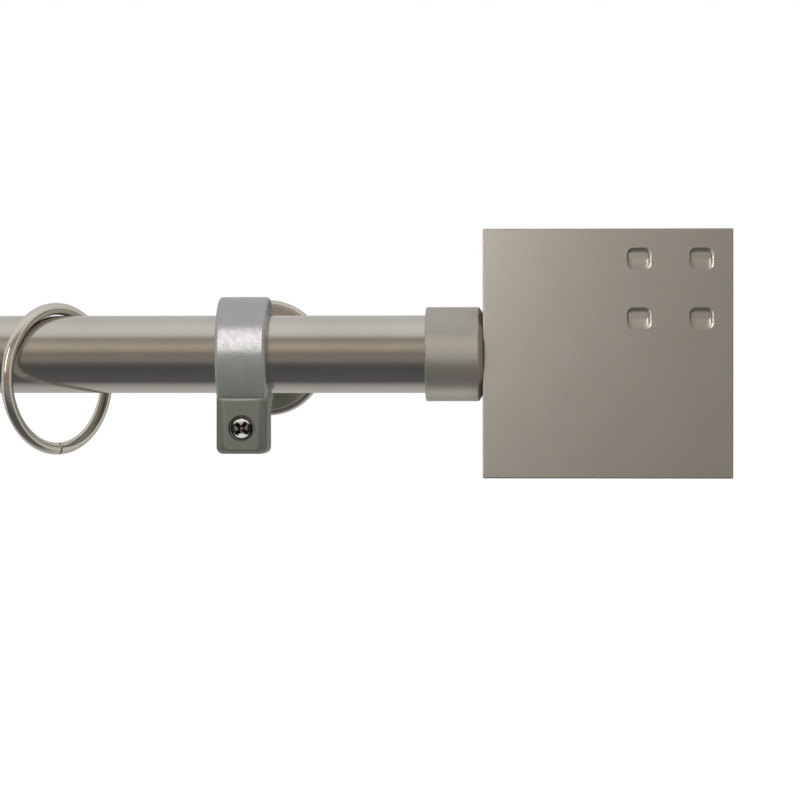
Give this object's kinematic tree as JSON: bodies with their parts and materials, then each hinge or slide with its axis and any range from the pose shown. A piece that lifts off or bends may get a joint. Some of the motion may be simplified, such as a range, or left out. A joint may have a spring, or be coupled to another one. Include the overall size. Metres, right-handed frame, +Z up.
{
  "type": "curtain rod with rings",
  "caption": "Telescoping curtain rod with square dimpled finials, clamp brackets on round wall plates and plain wire rings.",
  "frame": {"origin": "centre of the right bracket's wall plate, on the face that meets the wall", "axes": "+X along the rod to the right as seen from the room, +Y into the wall, +Z up"},
  "size_m": [0.91, 0.1096, 0.0808],
  "materials": {
    "rod_nickel": "satin",
    "finial_nickel": "satin",
    "bracket_cast": "satin",
    "bright_nickel": "polished",
    "plate_nickel": "polished",
    "ring_nickel": "polished",
    "plain_steel": "satin",
    "plug_cast": "satin",
    "grey_nylon": "matte"
  },
  "bodies": {
    "root": {"outer_tube": "rod_nickel", "guide_ring": "grey_nylon", "right_end_plug": "plug_cast", "right_collar": "finial_nickel", "right_finial_stud": "plain_steel", "right_finial": "finial_nickel", "right_wall_plate": "plate_nickel", "right_set_screw": "plain_steel", "right_saddle_arm": "bracket_cast", "right_clamp_strap": "bracket_cast", "right_clamp_screw": "bright_nickel", "left_wall_plate": "plate_nickel", "left_set_screw": "plain_steel", "left_saddle_arm": "bracket_cast", "left_clamp_strap": "bracket_cast", "left_clamp_screw": "bright_nickel"},
    "inner_rod": {"inner_tube": "rod_nickel", "tail_bush": "grey_nylon", "adapter_sleeve": "grey_nylon", "left_end_plug": "plug_cast", "left_collar": "finial_nickel", "left_finial_stud": "plain_steel", "left_finial": "finial_nickel"},
    "ring_1": {"ring_1": "ring_nickel"},
    "ring_2": {"ring_2": "ring_nickel"},
    "ring_3": {"ring_3": "ring_nickel"},
    "ring_4": {"ring_4": "ring_nickel"},
    "ring_5": {"ring_5": "ring_nickel"},
    "ring_6": {"ring_6": "ring_nickel"},
    "ring_7": {"ring_7": "ring_nickel"}
  },
  "joints": [
    {"name": "rod_pull_out", "type": "slide", "parent": "root", "child": "inner_rod", "axis": [-1, 0, 0], "range_m": [0, 0.508]},
    {"name": "ring_1_slide", "type": "slide", "parent": "root", "child": "ring_1", "axis": [1, 0, 0], "range_m": [0, 0.057]},
    {"name": "ring_2_slide", "type": "slide", "parent": "root", "child": "ring_2", "axis": [1, 0, 0], "range_m": [-0.057, 0.0465]},
    {"name": "ring_3_slide", "type": "slide", "parent": "root", "child": "ring_3", "axis": [1, 0, 0], "range_m": [-0.0465, 0.0624]},
    {"name": "ring_4_slide", "type": "slide", "parent": "root", "child": "ring_4", "axis": [1, 0, 0], "range_m": [-0.0624, 0.0616]},
    {"name": "ring_5_slide", "type": "slide", "parent": "root", "child": "ring_5", "axis": [1, 0, 0], "range_m": [-0.0616, 0.0722]},
    {"name": "ring_6_slide", "type": "slide", "parent": "root", "child": "ring_6", "axis": [1, 0, 0], "range_m": [-0.0722, 0.0659]},
    {"name": "ring_7_slide", "type": "slide", "parent": "root", "child": "ring_7", "axis": [1, 0, 0], "range_m": [-0.0659, 0.0378]}
  ]
}
